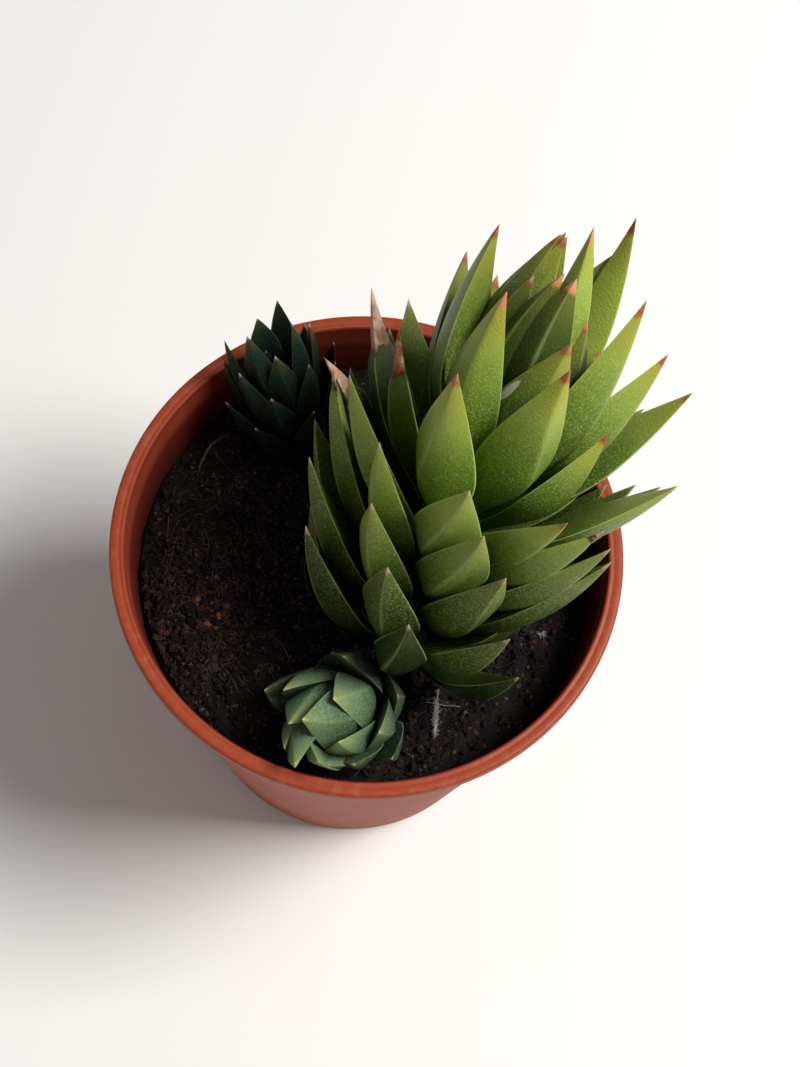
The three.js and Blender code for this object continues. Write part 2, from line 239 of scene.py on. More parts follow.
FRONT = {
    "name": "plant_front",
    "foot": (2.5, -30, 84.5),
    "bend": (1.5, -32, 90),
    "crown": (-1, -37, 97),
    "stem_length": 15,
    "leaves": 18,
    "turn": 137.5,
    "first_turn": 45,
    "gap": ((0, 17), (0.95, 0.75)),
    "base_radius": ((0, 15), (5, 1.5)),
    "length": ((0, 15), (18, 18)),
    "spread": ((0, 8, 15), (48, 20, -16)),
    "width": ((0, 15), (12, 13.5)),
    "thickness": 4.4,
    "bow": 0.2,
    "lowest_base": 88,
    "nest": (13, 7),
    "core": (3.5, 3.5, 2.0),
    "own": {1: (0.6, 0, 0), 3: (0.7, 0, 0)},
    "twist": {},
    "slim": {},
    "keel": {},
    "whirl": 0.25,
    "seed": 7,
}
PLANTS = (MAIN, BACK, FRONT)

# Leaf form
ROOT_DEPTH = 7
LOWEST_ROOT_DEPTH = 1.5
ROOT_GROWTH = 0.6
ROOT_RADIUS = 3
RIM_ROOM = 1.5
WALL_ROOM = 4.2
WALL_TESTS = np.array([0.3, 0.45, 0.6, 0.8, 1.0])
LEAN_STEP = 4
LEAN_LIMIT = 40
SHOULDER = 0.3
WIDEST = 0.53
FOOT_WIDTH = 0.25
SWELL = 2.5
TAPER = 1.75
POINTED = 0.15
KEEL = 0.4
KEEL_LIMIT = 0.75
KEEL_SHARE = 0.6
KEEL_FULL = 0.7
CUP = 0.1
INNER_BULGE = 0.22
TWIST_END = 0.5
THICK_POWER = 0.8
THINNING = 0.35
SWAY_POWER = 1.5
CURL_FROM = 0.7
SHRINK_REACH = 0.05
RING_CROWDING = 1.25
INNER_STEPS = 8
LEFT_STEPS = 9
RIGHT_STEPS = 8

# Stem core within the leaves, over the peg that stands in the compost
CORE_SHARES = (0.08, 0.5, 0.95)
CORE_STEP = 30
PEG_RADIUS = 3.5
PEG_DEPTH = 12
PEG_TOP = 0.5

# Leaves of the tall stem by their place in the spiral: where the dead tip starts, how far it
# curls aside, how much narrower it shrank, and how much of it is an orange wound
DRIED = {30: (0.8, 0.25, 0.3, 0.2), 38: (0.78, 0.0, 0.3, 0.0), 43: (0.82, -0.05, 0.3, 1.0),
         12: (0.93, 0, 0.3, 0), 22: (0.93, 0, 0.3, 0), 29: (0.93, 0, 0.3, 0)}
ALIVE = (2.0, 0.0, 0.0, 0.0)

# The core's numbers for the material
BARE = {"along": 0, "across": 0, "off_keel": 0, "outer": 1, "tone": 1, "shade_rank": 0, "red": 0,
        "orange": 0, "dry_from": ALIVE[0], "wound": 0, "scar": 0}

# How dark a leaf is where it differs from its neighbours, as painted shade: 1 is darkest, and 0 has
# no painted shade and paints light on its inner face in lime. The rest draw a random tone from
# LEAST_TONE to PLAIN_TONE.
PAINTED_SHADE = {0: 0.9, 3: 0.9, 6: 0.7, 11: 0.5, 25: 0.7, 30: 0.8, 32: 0.0, 33: 0.7, 38: 1.0, 40: 0.0,
        41: 0.7, 43: 1.0, 45: 0.0, 46: 0.7, 51: 0.5, 53: 0.5, 54: 0.5, 56: 1.0, 58: 0.9, 59: 0.7,
        60: 0.0, 61: 1.0, 62: 0.7, 64: 1.0}
LEAST_TONE = 0.08
PLAIN_TONE = 0.4

# Points of the tall stem's leaves: the orange ones, where the red-brown ones start, and the
# least and most red of these and of the rest
ORANGE_POINTS = (48, 52, 56, 61, 66)
FIRST_RED_POINT = 36
RIPE_RED = (0.7, 1.0)
FAINT_RED = (0.0, 0.2)

# A whitish scar on one leaf: its middle and half sizes, along and across the leaf
SCARRED_LEAF = 53
SCAR_ALONG = 0.69
SCAR_ACROSS = -0.85
SCAR_LENGTH = 0.065
SCAR_WIDTH = 0.1

# Leaf colours as sRGB hex values. The ramp runs from the root to the point; its dark lower end is
# partly the leaf's own colour and partly painted shade at the base. deep is the colour that a
# leaf's tone and the painted shade on lower and single leaves blend towards, and inner is painted
# shade on the inner face.
RAMP_PLACES = (0.0, 0.4, 0.64, 0.82, 0.95)
GREEN = {"ramp": (0x1C2C08, 0x446018, 0x6E862A, 0x98AC46, 0xA8B350), "deep": 0x11280A,
         "inner": 0x3E541A, "dot": 0xA6B868, "edge": 0xB4C274}
# The back offset's skin is near black: its own dark green deepened by painted shade.
SHADED_GREEN = {"ramp": (0x080F0A, 0x0F1A12, 0x16251A, 0x223624, 0x50492C), "deep": 0x080F0A,
              "inner": 0x0E1912, "dot": 0x36493A, "edge": 0x3E5040}
BLUE_GREEN = {"ramp": (0x1A2816, 0x344A30, 0x4C6244, 0x68805A, 0x8A9A58), "deep": 0x182C26,
              "inner": 0x263C2A, "dot": 0x88A07C, "edge": 0x7E945E}

# Stage, in metres and watts: each light's name, place, size and power
FLOOR_SIZE = 6
LIGHTS = (("key", (0.66, 0.1, 1.05), 0.5, 17), ("fill", (-0.5, -0.7, 0.9), 0.9, 0.6))
LIGHT_AIM = (0, 0, 0.09)
SKY_STRENGTH = 0.2


class PotLook(bpy.types.PropertyGroup):
    """Fineness and colours of the pot"""
    segments: IntProperty(name="Segments", description="Steps round the pot", default=224, min=24)
    lip: FloatVectorProperty(
        name="Lip", description="Colour of the lip", subtype="COLOR", size=3,
        default=(0.315, 0.047, 0.0155), min=0, max=1)
    body: FloatVectorProperty(
        name="Body", description="Colour of the outer wall under its dust", subtype="COLOR", size=3,
        default=(0.32, 0.064, 0.03), min=0, max=1)


class LeafLook(bpy.types.PropertyGroup):
    """Fineness of the leaves"""
    rings: IntProperty(name="Rings", description="Steps along a leaf", default=34, min=6)
    pimple: FloatProperty(
        name="Pimple spacing", description="Distance between the pimples of the skin",
        unit="LENGTH", default=0.00055, min=0.0002)


class CompostLook(bpy.types.PropertyGroup):
    """Amount of loose matter on the compost"""
    crumbs: IntProperty(name="Crumbs", description="Loose crumbs", default=4200, min=0)
    fibres: IntProperty(name="Fibres", description="Loose fibres", default=120, min=0)
    litter: IntProperty(
        name="Litter", description="Short strands on the mound", default=1300, min=0)


def linear(code):
    """Turns an sRGB hex value into a linear colour with full alpha"""
    parts = [((code >> shift) & 255) / 255 for shift in (16, 8, 0)]
    return [c / 12.92 if c <= 0.04045 else ((c + 0.055) / 1.055) ** 2.4 for c in parts] + [1]


def fill(tree, node, inputs):
    """Sets a node's inputs to values, or links them from sockets"""
    for key, value in inputs.items():
        if isinstance(value, bpy.types.NodeSocket):
            tree.links.new(value, node.inputs[key])
        else:
            node.inputs[key].default_value = value


def put(tree, kind, inputs=None, stops=None, **settings):
    """Adds a node: settings are its properties, inputs are values or sockets to link from"""
    made = tree.nodes.new(kind)
    for name, value in settings.items():
        setattr(made, name, value)
    fill(tree, made, inputs or {})
    for k, (place, colour) in enumerate(stops or ()):
        spots = made.color_ramp.elements
        spot = spots[k] if k < 2 else spots.new(place)
        spot.position = place
        spot.color = colour
    return made


def blend(tree, share, low, high):
    """Mixes two colours by a share, each a hex value, a linear colour or a socket"""
    low, high = [linear(c) if isinstance(c, int) else c for c in (low, high)]
    return put(tree, "ShaderNodeMix", {0: share, 6: low, 7: high}, data_type="RGBA").outputs[2]


def maths(tree, operation, *values):
    """Returns the result of one sum on values or sockets"""
    return put(tree, "ShaderNodeMath", dict(enumerate(values)), operation=operation).outputs[0]


def times(tree, first, second):
    """Returns the product of two values or sockets"""
    return maths(tree, "MULTIPLY", first, second)


def noise(tree, place, scale, detail):
    """Returns the shares of a cloudy pattern"""
    inputs = {"Vector": place, "Scale": scale, "Detail": detail}
    return put(tree, "ShaderNodeTexNoise", inputs).outputs["Fac"]


def rise(tree, value, low, high, top=1.0):
    """Returns a smooth step of the value from 0 at low to top at high"""
    inputs = {"Value": value, "From Min": low, "From Max": high, "To Min": 0.0, "To Max": top}
    return put(tree, "ShaderNodeMapRange", inputs, interpolation_type="SMOOTHSTEP").outputs[0]


def attribute(tree, name):
    """Returns a number that the mesh carries at each point"""
    return put(tree, "ShaderNodeAttribute", attribute_name=name).outputs["Fac"]


def new_material(name):
    """Returns a material, its node tree, its shader and its Object coordinates"""
    material = bpy.data.materials.new(name)
    material.use_nodes = True
    tree = material.node_tree
    shader = tree.nodes["Principled BSDF"]
    place = put(tree, "ShaderNodeTexCoord").outputs["Object"]
    return material, tree, shader, place


def pot_plastic(look):
    """Terracotta-coloured moulded polypropylene: satin on the lip, dusty below, deep red inside,
    with painted shade darkening the inside wall downwards
    """
    material, tree, shader, place = new_material("moulded_polypropylene")
    lip = attribute(tree, "lip")
    inside = attribute(tree, "inside")
    cloud = noise(tree, place, 55, 6)
    fine = noise(tree, place, 420, 4)
    speck = put(tree, "ShaderNodeTexVoronoi", {"Vector": place, "Scale": 330}).outputs["Distance"]
    body = blend(tree, rise(tree, cloud, -0.3, 1.1, 0.68), [*look.body, 1], 0xB76244)
    speck = times(tree, rise(tree, speck, 0.16, 0.08, 0.4), rise(tree, fine, 0.5, 0.7))
    body = blend(tree, speck, body, 0xD8C8BA)
    height = put(tree, "ShaderNodeSeparateXYZ", {0: place}).outputs["Z"]
    # Painted shade: the inside wall darkens from deep red under the rim to near black lower down.
    wall = blend(tree, rise(tree, height, 0.1, 0.082, 0.75), 0x7A2A1C, 0x2A0C09)
    colour = blend(tree, inside, body, wall)
    worn = blend(tree, rise(tree, fine, 0.45, 0.8, 0.15), [*look.lip, 1], 0xC98B6E)
    colour = blend(tree, lip, colour, worn)
    rough = maths(tree, "MULTIPLY_ADD", lip, -0.15, 0.6)
    bump = put(tree, "ShaderNodeBump", {"Height": fine, "Strength": 0.25, "Distance": 0.0003})
    fill(tree, shader, {"Base Color": colour, "Roughness": rough, "Specular IOR Level": 0.25,
                        "IOR": 1.49, "Normal": bump.outputs[0]})
    return material


def damp_compost():
    """Damp peat with coir and bark dust: near black, brown in patches, with orange flecks"""
    material, tree, shader, place = new_material("damp_peat_compost")
    tone = attribute(tree, "tone")
    cloud = noise(tree, place, 160, 8)
    grain = put(tree, "ShaderNodeTexVoronoi", {"Vector": place, "Scale": 1500})
    hue = put(tree, "ShaderNodeSeparateColor", {0: grain.outputs["Color"]}).outputs[0]
    colour = blend(tree, rise(tree, cloud, 0.4, 0.7), 0x0A0605, 0x1A0F0A)
    colour = blend(tree, rise(tree, tone, 0.35, 0.8, 0.8), colour, 0x44291C)
    colour = blend(tree, rise(tree, tone, 0.88, 0.95, 0.9), colour, 0x8A5430)
    colour = blend(tree, rise(tree, hue, 0.95, 0.98, 0.3), colour, 0x7A4626)
    colour = blend(tree, rise(tree, hue, 0.04, 0.02, 0.3), colour, 0x7C6C5A)
    rough = noise(tree, place, 900, 5)
    bump = put(tree, "ShaderNodeBump", {"Height": rough, "Strength": 0.9, "Distance": 0.0012})
    fill(tree, shader, {"Base Color": colour, "Roughness": 0.82, "Specular IOR Level": 0.25,
                        "Normal": bump.outputs[0]})
    return material


def dry_fibre(name, light, dark):
    """Dry plant fibre: matt, paler along some stretches than others"""
    material, tree, shader, place = new_material(name)
    colour = blend(tree, noise(tree, place, 300, 4), dark, light)
    fill(tree, shader, {"Base Color": colour, "Roughness": 0.8})
    return material


def leaf_skin(name, look, shades):
    """Living succulent skin: firm, finely pimpled, pale at the edges and towards the point. From
    the ramp up, whose dark root end is partly painted shade, it adds the leaf's tone with painted
    shade on single and lower leaves, painted shade on the inner face (painted light in lime where
    the tone is 0), pimples, keel and edges, the point's colour, a scar, and a dead tip."""
    material, tree, shader, place = new_material(name)
    names = ("along", "across", "outer", "tone", "red", "orange")
    along, across, outer, tone, red, orange = [attribute(tree, key) for key in names]
    cloud = noise(tree, place, 260, 5)
    reach = maths(tree, "ADD", along, maths(tree, "MULTIPLY_ADD", cloud, 0.16, -0.08))
    stops = list(zip(RAMP_PLACES, [linear(c) for c in shades["ramp"]]))
    colour = put(tree, "ShaderNodeValToRGB", {0: reach}, stops=stops).outputs[0]
    deep = shades["deep"]
    # The tone blends each leaf towards the deep colour: a random tone, or painted shade on the
    # single leaves listed for the tall stem.
    colour = blend(tree, rise(tree, tone, 0.0, 1.0, 0.85), colour, deep)
    # Painted shade: the lower leaves of each stem blend towards the deep colour, by their place up
    # the stem.
    colour = blend(tree, rise(tree, attribute(tree, "shade_rank"), 0.62, 0.0, 0.86), colour, deep)
    face = maths(tree, "SUBTRACT", 1.0, outer)
    plain = rise(tree, tone, 0.0, 0.05)
    # Painted shade: the inner face darkens towards the inner colour below its upper part, except on
    # leaves whose tone is 0.
    inner = times(tree, times(tree, face, plain), rise(tree, along, 0.8, 0.4, 0.8))
    colour = blend(tree, inner, colour, shades["inner"])
    # Painted light: on leaves whose tone is 0 the inner face is blended to lime.
    lime = times(tree, face, maths(tree, "SUBTRACT", 1.0, plain))
    colour = blend(tree, times(tree, lime, 0.8), colour, 0xC0D452)
    pimple = put(tree, "ShaderNodeTexVoronoi", {"Vector": place, "Scale": 1 / look.pimple})
    dot = rise(tree, pimple.outputs["Distance"], 0.5, 0.1)
    # The pale pimples and grain fade towards the root and with the tone, so they stay out of the
    # painted shade.
    lit = times(tree, rise(tree, along, 0.1, 0.6, 0.38), rise(tree, tone, 1.2, 0.3))
    colour = blend(tree, times(tree, dot, lit), colour, shades["dot"])
    grain = times(tree, rise(tree, noise(tree, place, 2200, 3), 0.48, 0.68), lit)
    colour = blend(tree, grain, colour, shades["dot"])
    keel = maths(tree, "ABSOLUTE", attribute(tree, "off_keel"))
    keel = times(tree, rise(tree, keel, 0.12, 0.0), outer)
    keel = times(tree, rise(tree, along, 0.3, 0.7, 0.3), keel)
    colour = blend(tree, keel, colour, shades["edge"])
    edge = rise(tree, maths(tree, "ABSOLUTE", across), 0.95, 1.0, 0.55)
    colour = blend(tree, edge, colour, shades["edge"])
    tip = maths(tree, "MULTIPLY_ADD", cloud, 0.05, along)
    ripe = times(tree, maths(tree, "MAXIMUM", red, orange), rise(tree, tone, 1.4, 0.2))
    yellow = times(tree, rise(tree, tip, 0.78, 0.97, 0.75), ripe)
    colour = blend(tree, yellow, colour, 0xA09A34)
    colour = blend(tree, times(tree, rise(tree, tip, 0.965, 0.99), red), colour, 0xA0452A)
    colour = blend(tree, times(tree, rise(tree, tip, 0.96, 0.985), orange), colour, 0xCE8A58)
    point = times(tree, rise(tree, tip, 0.98, 1.01, 0.8), maths(tree, "SUBTRACT", 1.0, ripe))
    colour = blend(tree, point, colour, 0xB9A98A)
    spot = maths(tree, "DIVIDE", maths(tree, "SUBTRACT", along, SCAR_ALONG), SCAR_LENGTH)
    rim = maths(tree, "DIVIDE", maths(tree, "SUBTRACT", across, SCAR_ACROSS), SCAR_WIDTH)
    scar = maths(tree, "ADD", maths(tree, "POWER", spot, 2.0), maths(tree, "POWER", rim, 2.0))
    scar = times(tree, rise(tree, scar, 1.1, 0.8), attribute(tree, "scar"))
    colour = blend(tree, scar, colour, 0xD2CAB2)
    dead = maths(tree, "SUBTRACT", reach, attribute(tree, "dry_from"))
    scab = blend(tree, rise(tree, cloud, 0.4, 0.65), 0xD0AC92, 0x8E6248)
    wound = times(tree, rise(tree, cloud, 0.3, 0.5), attribute(tree, "wound"))
    scab = blend(tree, wound, scab, 0x9A4A1C)
    colour = blend(tree, rise(tree, dead, -0.02, 0.0), colour, 0x4A2C18)
    colour = blend(tree, rise(tree, dead, 0.0, 0.02), colour, scab)
    ripple = maths(tree, "MULTIPLY_ADD", cloud, 1.5, dot)
    bump = put(tree, "ShaderNodeBump", {"Height": ripple, "Strength": 0.4, "Distance": 0.00011})
    fill(tree, shader, {"Base Color": colour, "Roughness": 0.42, "Specular IOR Level": 0.2,
                        "IOR": 1.45, "Subsurface Weight": 0.12, "Subsurface Scale": 0.002,
                        "Subsurface Radius": (0.6, 1.0, 0.3), "Normal": bump.outputs[0]})
    return material


def make_piece(name, points, faces, numbers, materials, replaces=()):
    """Makes a mesh object from points in millimetres and lists of faces, and rides it on the part.
    numbers holds a value for each point under each attribute's name."""
    mesh = bpy.data.meshes.new(name)
    corners = np.concatenate([f.ravel() for f in faces])
    sizes = np.concatenate([np.full(len(f), f.shape[1]) for f in faces])
    mesh.vertices.add(len(points))
    mesh.vertices.foreach_set("co", (points * MM).astype(np.float32).ravel())
    mesh.loops.add(len(corners))
    mesh.loops.foreach_set("vertex_index", corners.astype(np.int32))
    mesh.polygons.add(len(sizes))
    starts = np.concatenate([[0], np.cumsum(sizes)[:-1]])
    mesh.polygons.foreach_set("loop_start", starts.astype(np.int32))
    mesh.update(calc_edges=True)
    mesh.validate()
    for key, values in numbers.items():
        layer = mesh.attributes.new(key, "FLOAT", "POINT")
        layer.data.foreach_set("value", np.asarray(values, np.float32))
    mesh.shade_smooth()
    piece = bpy.data.objects.new(name, mesh)
    bpy.context.scene.collection.objects.link(piece)
    for material in materials:
        mesh.materials.append(material)
    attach(piece, "root")
    if replaces:
        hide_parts(*replaces)
    return piece


def tube_faces(rings, count, first=0):
    """Faces of a closed tube of rings with a point at each end, its points in the order
    ring after ring, then the low end and the high end; rings run counter-clockwise seen from
    the high end"""
    i, j = np.meshgrid(np.arange(rings - 1), np.arange(count), indexing="ij")
    a = i * count + j
    b = i * count + (j + 1) % count
    sides = np.stack([a, b, b + count, a + count], axis=-1).reshape(-1, 4)
    k = np.arange(count)
    after = (k + 1) % count
    low = np.full(count, rings * count)
    last = (rings - 1) * count
    bottom = np.stack([low, after, k], axis=-1)
    top = np.stack([low + 1, last + k, last + after], axis=-1)
    return sides + first, np.concatenate([bottom, top]) + first


def unit(v):
    """Directions of length one"""
    return v / np.linalg.norm(v, axis=-1, keepdims=True)


def curve(path, t):
    """Points of the quadratic curve through foot, bend and crown at shares t of it"""
    a, b, c = [np.asarray(p, float) for p in path]
    t = np.asarray(t, float)[..., None]
    return a * (1 - t) ** 2 + 2 * b * t * (1 - t) + c * t * t


def curve_way(path, t):
    """Directions of the same curve"""
    a, b, c = [np.asarray(p, float) for p in path]
    t = np.asarray(t, float)[..., None]
    return unit(2 * (b - a) * (1 - t) + 2 * (c - b) * t)


def stem_frame(plant, share):
    """Place, direction and the two cross directions of a stem at a share of its length"""
    path = plant["foot"], plant["bend"], plant["crown"]
    at = curve(path, share)
    along = curve_way(path, share)
    front = np.array([0.0, -1.0, 0.0])
    front = unit(front - along * (along @ front))
    return at, along, front, np.cross(along, front)


def width_share(u):
    """Share of the full width: a rounded rise to the widest place, then a curve to the point"""
    b = np.clip((u - WIDEST) / (1 - WIDEST), 0, 1)
    low = np.sin(np.clip(u / WIDEST, 0, 1) * np.pi / 2)
    low = FOOT_WIDTH + (1 - FOOT_WIDTH) * low ** SWELL
    return np.where(u < WIDEST, low, (1 - b ** TAPER) * (1 - POINTED * b * b))


def wall_radius(z):
    """Outer radius of the pot's wall, a straight taper from the foot to under the lip"""
    top = RIM_RADIUS - LIP_WIDTH + WALL
    return FOOT_RADIUS + (top - FOOT_RADIUS) * z / UNDER_LIP


def inner_radius(z):
    """Inner radius of the pot's wall"""
    return wall_radius(z) - WALL


def hits_wall(points):
    """True where a point below the rim lies at the wall"""
    z = points[:, 2]
    limit = inner_radius(np.minimum(z, POT_HEIGHT)) - WALL_ROOM
    far = np.hypot(points[:, 0], points[:, 1]) > limit
    return bool(np.any(far & (z < POT_HEIGHT + RIM_ROOM)))


def leaf_line(plant, s, base, length, spread):
    """Middle line of a leaf as three points of a quadratic curve, along and out from the stem"""
    shoulder = SHOULDER * length
    bow = plant["bow"] * length
    c, sn = math.cos(spread), math.sin(spread)
    depth = min(ROOT_DEPTH, LOWEST_ROOT_DEPTH + s * ROOT_GROWTH)
    return ((-depth, ROOT_RADIUS, 0), (shoulder * c - bow * sn, base + shoulder * sn + bow * c, 0),
            (length * c, base + length * sn, 0))


def leaf_angles(ridge):
    """Angles round a leaf's section, falling from 360: the inner face, then the outer one to its
    ridge and on from there. ridge holds the ridge's place across the leaf for each ring."""
    top = np.degrees(np.arccos(ridge))[:, None]
    inner = np.broadcast_to(np.linspace(360, 180, INNER_STEPS + 1)[:-1], (len(ridge), INNER_STEPS))
    left = 180 + (top - 180) * np.linspace(0, 1, LEFT_STEPS + 1)
    right = top * (1 - np.linspace(0, 1, RIGHT_STEPS + 1)[1:-1])
    return np.concatenate([inner, left, right], axis=1)


def leaf_points(plant, n, place, rings, dried=ALIVE):
    """One leaf as rings of points. The section is a lens with a keel on its outer face,
    1 - x^2 mixed with a ridge, carried along a quadratic curve out of the stem. Its width and
    thickness follow width_share. Sway pushes it aside more and more towards the point, and a
    dead tip curls further and is narrower. A leaf that would start under lowest_base is moved
    up the stem, and one that would hit the pot's wall is leaned in."""
    dry_from, curl, shrink, _ = dried
    share, more_spread, sway = plant["own"].get(n, (1, 0, 0))
    sway += plant["whirl"]
    turn = math.radians(plant["first_turn"] + plant["turn"] * n)
    base = np.interp(place, *plant["base_radius"])
    s = place
    at, along, front, side = stem_frame(plant, s / plant["stem_length"])
    out = front * math.cos(turn) + side * math.sin(turn)
    sunk = plant["lowest_base"] - (at[2] + out[2] * base)
    if sunk > 0:
        s += sunk / along[2]
        at, along, front, side = stem_frame(plant, s / plant["stem_length"])
        out = front * math.cos(turn) + side * math.sin(turn)
    across = side * math.cos(turn) - front * math.sin(turn)
    length = np.interp(s, *plant["length"]) * share
    half = np.interp(s, *plant["width"]) / 2 * plant["slim"].get(n, 1)
    spread = np.interp(s, *plant["spread"]) + more_spread

    def middle(line, u):
        p = curve(line, u)
        bend = np.clip((u - CURL_FROM) / (1 - CURL_FROM), 0, 1)
        aside = length * (sway * u ** SWAY_POWER + curl * bend ** SWAY_POWER)
        return at + p[:, :1] * along + p[:, 1:2] * out + aside[:, None] * across

    line = leaf_line(plant, s, base, length, math.radians(spread))
    while spread > -LEAN_LIMIT and hits_wall(middle(line, WALL_TESTS)):
        spread -= LEAN_STEP
        line = leaf_line(plant, s, base, length, math.radians(spread))
    u = 1 - (1 - np.linspace(0, 1, rings + 1)[:-1]) ** RING_CROWDING
    centre = middle(line, u)
    way = curve_way(line, u)
    normal = way[:, :1] * out - way[:, 1:2] * along
    wide = width_share(u) * (1 - shrink * np.clip((u - dry_from) / SHRINK_REACH + 1, 0, 1))
    thick = plant["thickness"] * wide ** THICK_POWER * (1 - THINNING * u)
    keel = np.clip(plant["keel"].get(n, KEEL) * (1 - u), -KEEL_LIMIT, KEEL_LIMIT)
    angles = leaf_angles(keel)
    x = np.cos(np.radians(angles))
    keel = keel[:, None]
    ridge = 1 - np.abs(x - keel) / np.where(x > keel, 1 - keel, 1 + keel)
    sharp = KEEL_SHARE * np.minimum(u / KEEL_FULL, 1)[:, None]
    outer = (1 - sharp) * (1 - x * x) + sharp * ridge
    y = np.where(angles <= 180, outer, -INNER_BULGE * (1 - x * x))
    aside = (half * wide)[:, None] * x
    lift = thick[:, None] * y - (half * wide * CUP)[:, None] * x * x
    twist = math.radians(plant["twist"].get(n, 0)) * np.minimum(u / TWIST_END, 1)[:, None]
    flat = np.cos(twist) * across + np.sin(twist) * normal
    normal = np.cos(twist) * normal - np.sin(twist) * across
    points = centre[:, None] + aside[..., None] * flat[:, None] + lift[..., None] * normal[:, None]
    ends = middle(line, np.array([0.0, 1.0]))
    return np.concatenate([points.reshape(-1, 3), ends]), u, x, x - keel, angles <= 180


def plant_places(plant):
    """Distance of each leaf up the stem: the sum of the gaps below it"""
    gaps = np.interp(np.arange(1, plant["leaves"]), *plant["gap"])
    return np.concatenate([[0], np.cumsum(gaps)])


def core_points(plant):
    """The stem in its leaves: two rings of a peg, then rings round the stem's curve"""
    angle = np.radians(np.arange(0, 360, CORE_STEP))
    foot = np.array(plant["foot"], float)
    rings = []
    for share, radius in zip(CORE_SHARES, plant["core"]):
        at, _, front, side = stem_frame(plant, share)
        rings.append(at + radius * (np.cos(angle)[:, None] * front + np.sin(angle)[:, None] * side))
    peg = np.stack([np.cos(angle - np.pi / 2), np.sin(angle - np.pi / 2), 0 * angle], axis=-1)
    low = foot + PEG_RADIUS * peg - [0, 0, PEG_DEPTH]
    high = foot + PEG_RADIUS * peg - [0, 0, PEG_TOP]
    ends = np.array([foot - [0, 0, PEG_DEPTH], stem_frame(plant, 1.0)[0]])
    return np.concatenate([low, high, *rings, ends])


def tip_numbers(plant, n, rng):
    """How much of a leaf's point is red-brown and orange, and what of it is dead"""
    if plant is not MAIN:
        return 0.0, 0.0, ALIVE
    orange = float(n in ORANGE_POINTS)
    red = rng.uniform(*(RIPE_RED if n >= FIRST_RED_POINT and not orange else FAINT_RED))
    return red, orange, DRIED.get(n, ALIVE)


def make_plant(plant, look, material):
    """Makes one leafy stem: its leaves in a spiral, each a closed body rooted in the core. The
    numbers at each point tell the material where it is and what its leaf is like."""
    rng = np.random.default_rng(plant["seed"])
    points = [core_points(plant)]
    faces = list(tube_faces(2 + len(CORE_SHARES), 360 // CORE_STEP))
    rows = [BARE]
    for n, place in enumerate(plant_places(plant)):
        red, orange, dried = tip_numbers(plant, n, rng)
        grid, u, x, off_keel, face = leaf_points(plant, n, place, look.rings, dried)
        count = x.shape[1]
        faces.extend(tube_faces(look.rings, count, sum(len(part) for part in points)))
        points.append(grid)
        tone = rng.uniform(LEAST_TONE, PLAIN_TONE)
        if plant is MAIN:
            tone = PAINTED_SHADE.get(n, tone)
        rows.append({
            "along": np.append(np.repeat(u, count), [0, 1]), "across": np.append(x, [0, 0]),
            "off_keel": np.append(off_keel, [1, 0]), "outer": np.append(face, [1, 1]),
            "tone": tone, "shade_rank": n / plant["leaves"], "red": red, "orange": orange,
            "dry_from": dried[0], "wound": dried[3], "scar": plant is MAIN and n == SCARRED_LEAF})
    numbers = {name: np.concatenate([np.broadcast_to(row[name], len(part))
                                     for row, part in zip(rows, points)]) for name in BARE}
    name = plant["name"].replace("plant_", "leaves_")
    return make_piece(name, np.concatenate(points), faces, numbers, [material],
                      (plant["name"],))


def value_noise(x, y, size, seed):
    """Smooth noise from -1 to 1: seeded values on a square lattice of the given size, blended
    by 3t^2 - 2t^3 in both directions"""
    cells = NOISE_CELLS
    table = np.random.default_rng(seed).uniform(-1, 1, (cells, cells))
    gx, gy = x / size + NOISE_SHIFT, y / size + NOISE_SHIFT
    i, j = np.floor(gx).astype(int), np.floor(gy).astype(int)
    fx, fy = gx - i, gy - j
    fx, fy = fx * fx * (3 - 2 * fx), fy * fy * (3 - 2 * fy)
    i, j, k, m = i % cells, j % cells, (i + 1) % cells, (j + 1) % cells
    low = table[i, j] * (1 - fx) + table[k, j] * fx
    high = table[i, m] * (1 - fx) + table[k, m] * fx
    return low * (1 - fy) + high * fy


def soil_height(x, y):
    """Height of the compost: level, a mound on the left, a dip at the wall and round each stem,
    broad lumps and three sizes of noise"""
    dx = (x - MOUND["x"]) / MOUND["along"]
    dy = (y - MOUND["y"]) / MOUND["across"]
    mound = MOUND["rise"] * np.exp(-(dx * dx + dy * dy))
    edge = np.minimum(np.hypot(x, y) / inner_radius(SOIL_LEVEL), 1)
    nest = np.zeros_like(x)
    for plant in PLANTS:
        radius, depth = plant["nest"]
        d = np.hypot(x - plant["foot"][0], y - plant["foot"][1]) / radius
        nest = np.maximum(nest, (depth - NEST_EASE) * np.exp(-(d ** NEST_POWER)))
    lumps = np.sin(WAVE_X[0] * x + WAVE_X[1]) * np.sin(WAVE_Y[0] * y + WAVE_Y[1])
    strength, rate_x, rate_y, shift = SLANT_WAVE
    lumps = lumps + strength * np.sin(rate_x * x + rate_y * y + shift)
    rough = sum(share * value_noise(x, y, size, seed) for share, size, seed in NOISE)
    dip = EDGE_DIP * edge ** EDGE_POWER
    return SOIL_LEVEL + mound - dip - nest + LUMP * lumps + rough * NOISE_SHARE


def drawn(rng, shape, least, span, power):
    """Random sizes from least to least + span, more of them small as the power rises"""
    return least + span * rng.random(shape) ** power


